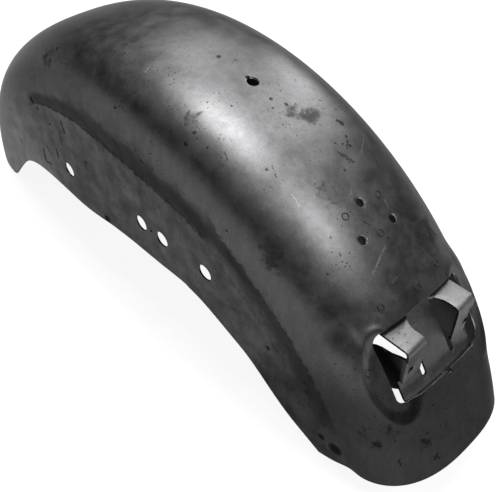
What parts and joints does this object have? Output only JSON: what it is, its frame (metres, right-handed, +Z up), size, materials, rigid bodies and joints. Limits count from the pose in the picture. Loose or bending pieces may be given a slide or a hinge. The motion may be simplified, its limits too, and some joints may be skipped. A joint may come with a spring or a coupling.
{
  "type": "motorcycle rear fender",
  "caption": "Bare pressed-steel motorcycle rear fender: deep crowned arch with recessed flat skirts, a tail lamp opening and a folded lamp bracket under it.",
  "frame": {"origin": "middle of the footprint, on the bench plane that the skirt tips stand on", "axes": "+X to the motorcycle's right, +Y forward, +Z up"},
  "size_m": [0.164, 0.6592, 0.2607],
  "materials": {
    "raw_steel": "bare rolled steel, dull satin with stains",
    "bracket_steel": "bare zinc-grey steel, satin"
  },
  "bodies": {
    "root": {"fender_shell": "raw_steel", "lamp_bracket": "bracket_steel", "reinforcement_plate": "raw_steel"}
  },
  "joints": []
}
